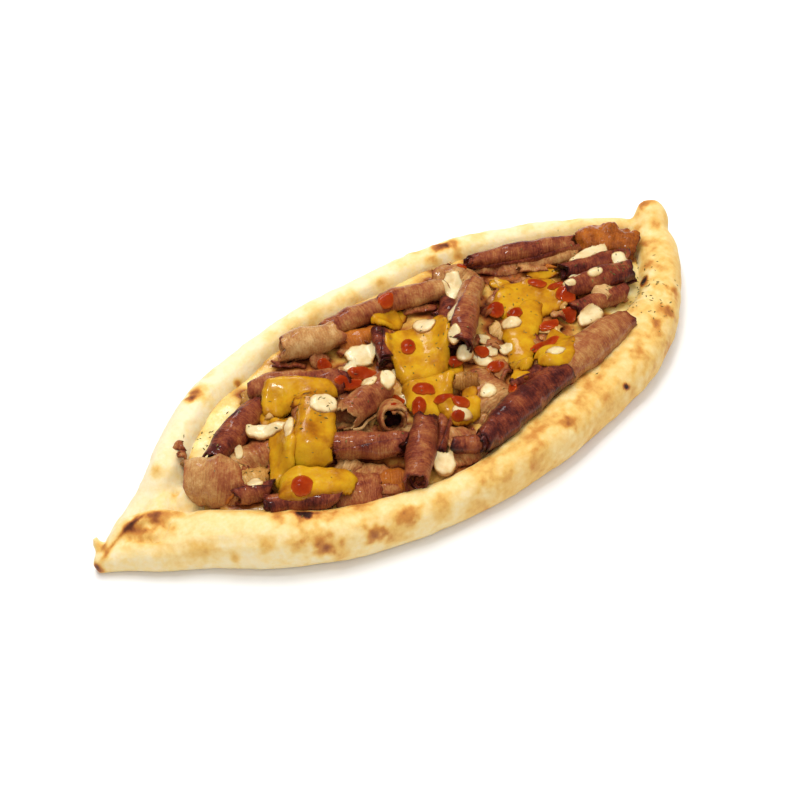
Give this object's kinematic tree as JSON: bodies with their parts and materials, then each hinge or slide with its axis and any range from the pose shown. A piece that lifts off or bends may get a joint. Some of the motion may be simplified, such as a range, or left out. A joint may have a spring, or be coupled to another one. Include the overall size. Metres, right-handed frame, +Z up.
{
  "type": "kebab and cheese pide",
  "caption": "Boat-shaped filled flatbread with a rolled rim pinched at both ends, a bed of melted cheese, curled doner shavings, melted yellow slices, white cheese and drops of red sauce.",
  "frame": {"origin": "middle of the common box in the plan, on the plane that the bread rests on", "axes": "+X along the bread from the folded end to the pinched end, +Y across it, +Z up out of the filling"},
  "size_m": [0.346, 0.1488, 0.0357],
  "materials": {
    "crust": "baked dough, matt, cream with golden and brown patches",
    "cheese_bed": "melted cheese, satin",
    "tan_meat": "roasted meat, greasy satin, fine ribs",
    "red_meat": "dark roasted meat, greasy satin, fine ribs",
    "crisp_meat": "crisp browned meat, satin",
    "onion": "fried onion, glossy, slightly clear",
    "yellow_cheese": "melted yellow cheese, glossy",
    "white_cheese": "melted white cheese, glossy",
    "red_sauce": "tomato sauce, glossy",
    "herbs": "dried herb flakes, matt"
  },
  "bodies": {
    "root": {"crust": "crust", "cheese_bed": "cheese_bed", "slab_near_left": "tan_meat", "slab_middle": "tan_meat", "slab_right": "tan_meat", "caramel_near": "crisp_meat", "roll_near_left": "red_meat", "roll_small_left": "red_meat", "amber_left": "onion", "roll_far_left": "red_meat", "onion_left": "onion", "roll_under_slice": "tan_meat", "roll_under_melt": "tan_meat", "flap_left": "tan_meat", "slab_left": "tan_meat", "roll_far_middle": "red_meat", "roll_far_tan": "tan_meat", "roll_far_right": "tan_meat", "crisp_middle": "crisp_meat", "stub_purple": "red_meat", "roll_under_middle": "red_meat", "roll_rim_right": "red_meat", "curl_far_right": "tan_meat", "roll_long_middle": "red_meat", "lump_right": "crisp_meat", "roll_right_low": "tan_meat", "roll_right_far": "red_meat", "roll_right_near": "red_meat", "roll_tan_right": "tan_meat", "roll_dark_right": "red_meat", "roll_dark_upper": "red_meat", "stub_near": "red_meat", "roll_dark_left": "red_meat", "roll_thin_middle": "red_meat", "roll_ribbed": "red_meat", "onion_middle": "onion", "curl_centre": "tan_meat", "curl_round": "tan_meat", "slice_left_far": "yellow_cheese", "slice_left_melt": "yellow_cheese", "slice_left_strip": "yellow_cheese", "slice_near_left": "yellow_cheese", "slice_tab": "yellow_cheese", "slice_middle": "yellow_cheese", "slice_middle_low": "yellow_cheese", "slice_sauced": "yellow_cheese", "slice_right_far": "yellow_cheese", "slice_right_strip": "yellow_cheese", "slice_right_near": "yellow_cheese", "white_cheese_1": "white_cheese", "white_cheese_2": "white_cheese", "white_cheese_3": "white_cheese", "white_cheese_4": "white_cheese", "white_cheese_5": "white_cheese", "white_cheese_6": "white_cheese", "white_cheese_7": "white_cheese", "white_cheese_8": "white_cheese", "white_cheese_9": "white_cheese"}
  },
  "joints": []
}
